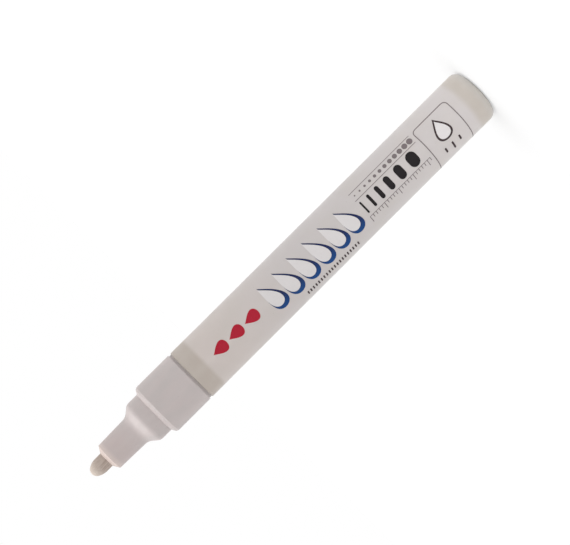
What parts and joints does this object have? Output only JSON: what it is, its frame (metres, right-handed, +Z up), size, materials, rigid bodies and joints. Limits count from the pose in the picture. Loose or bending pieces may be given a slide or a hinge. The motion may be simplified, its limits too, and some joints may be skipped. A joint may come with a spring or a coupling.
{
  "type": "paint marker",
  "caption": "Valve-action paint marker, uncapped: lacquered can, stepped plastic collar and nozzle, and a bullet fibre nib that presses in against a spring to feed paint.",
  "frame": {"origin": "centre of the flat base, under the closed end of the barrel", "axes": "+Z up the marker's axis towards the nib, -Y towards the middle of the printed side"},
  "size_m": [0.015, 0.015, 0.1357],
  "materials": {
    "barrel_lacquer": "drawn aluminium under warm white satin lacquer",
    "front_plastic": "satin moulded plastic, warm white",
    "nib_fibre": "bonded fibre, ground to a bullet",
    "inner_plastic": "natural moulded plastic",
    "seal_rubber": "matte black rubber",
    "rod_plastic": "smooth hard plastic",
    "spring_wire": "drawn stainless wire",
    "ball_steel": "polished steel"
  },
  "bodies": {
    "body": {"barrel": "barrel_lacquer", "collar": "front_plastic", "nozzle": "front_plastic", "valve_gasket": "seal_rubber", "valve_housing": "inner_plastic", "valve_cage": "inner_plastic", "valve_spring": "spring_wire"},
    "writing_tip": {"nib": "nib_fibre", "nib_holder": "inner_plastic", "valve_rod": "rod_plastic", "valve_seal": "seal_rubber"},
    "stirrer": {"mixing_ball": "ball_steel"}
  },
  "joints": [
    {"name": "nib_press", "type": "slide", "parent": "body", "child": "writing_tip", "axis": [0, 0, -1], "range_m": [0, 0.002], "stiffness_N_per_m": 400, "springref_m": -0.003, "deforming": ["valve_spring"]},
    {"name": "ball_travel", "type": "slide", "parent": "body", "child": "stirrer", "axis": [0, 0, 1], "range_m": [0, 0.0832]}
  ]
}
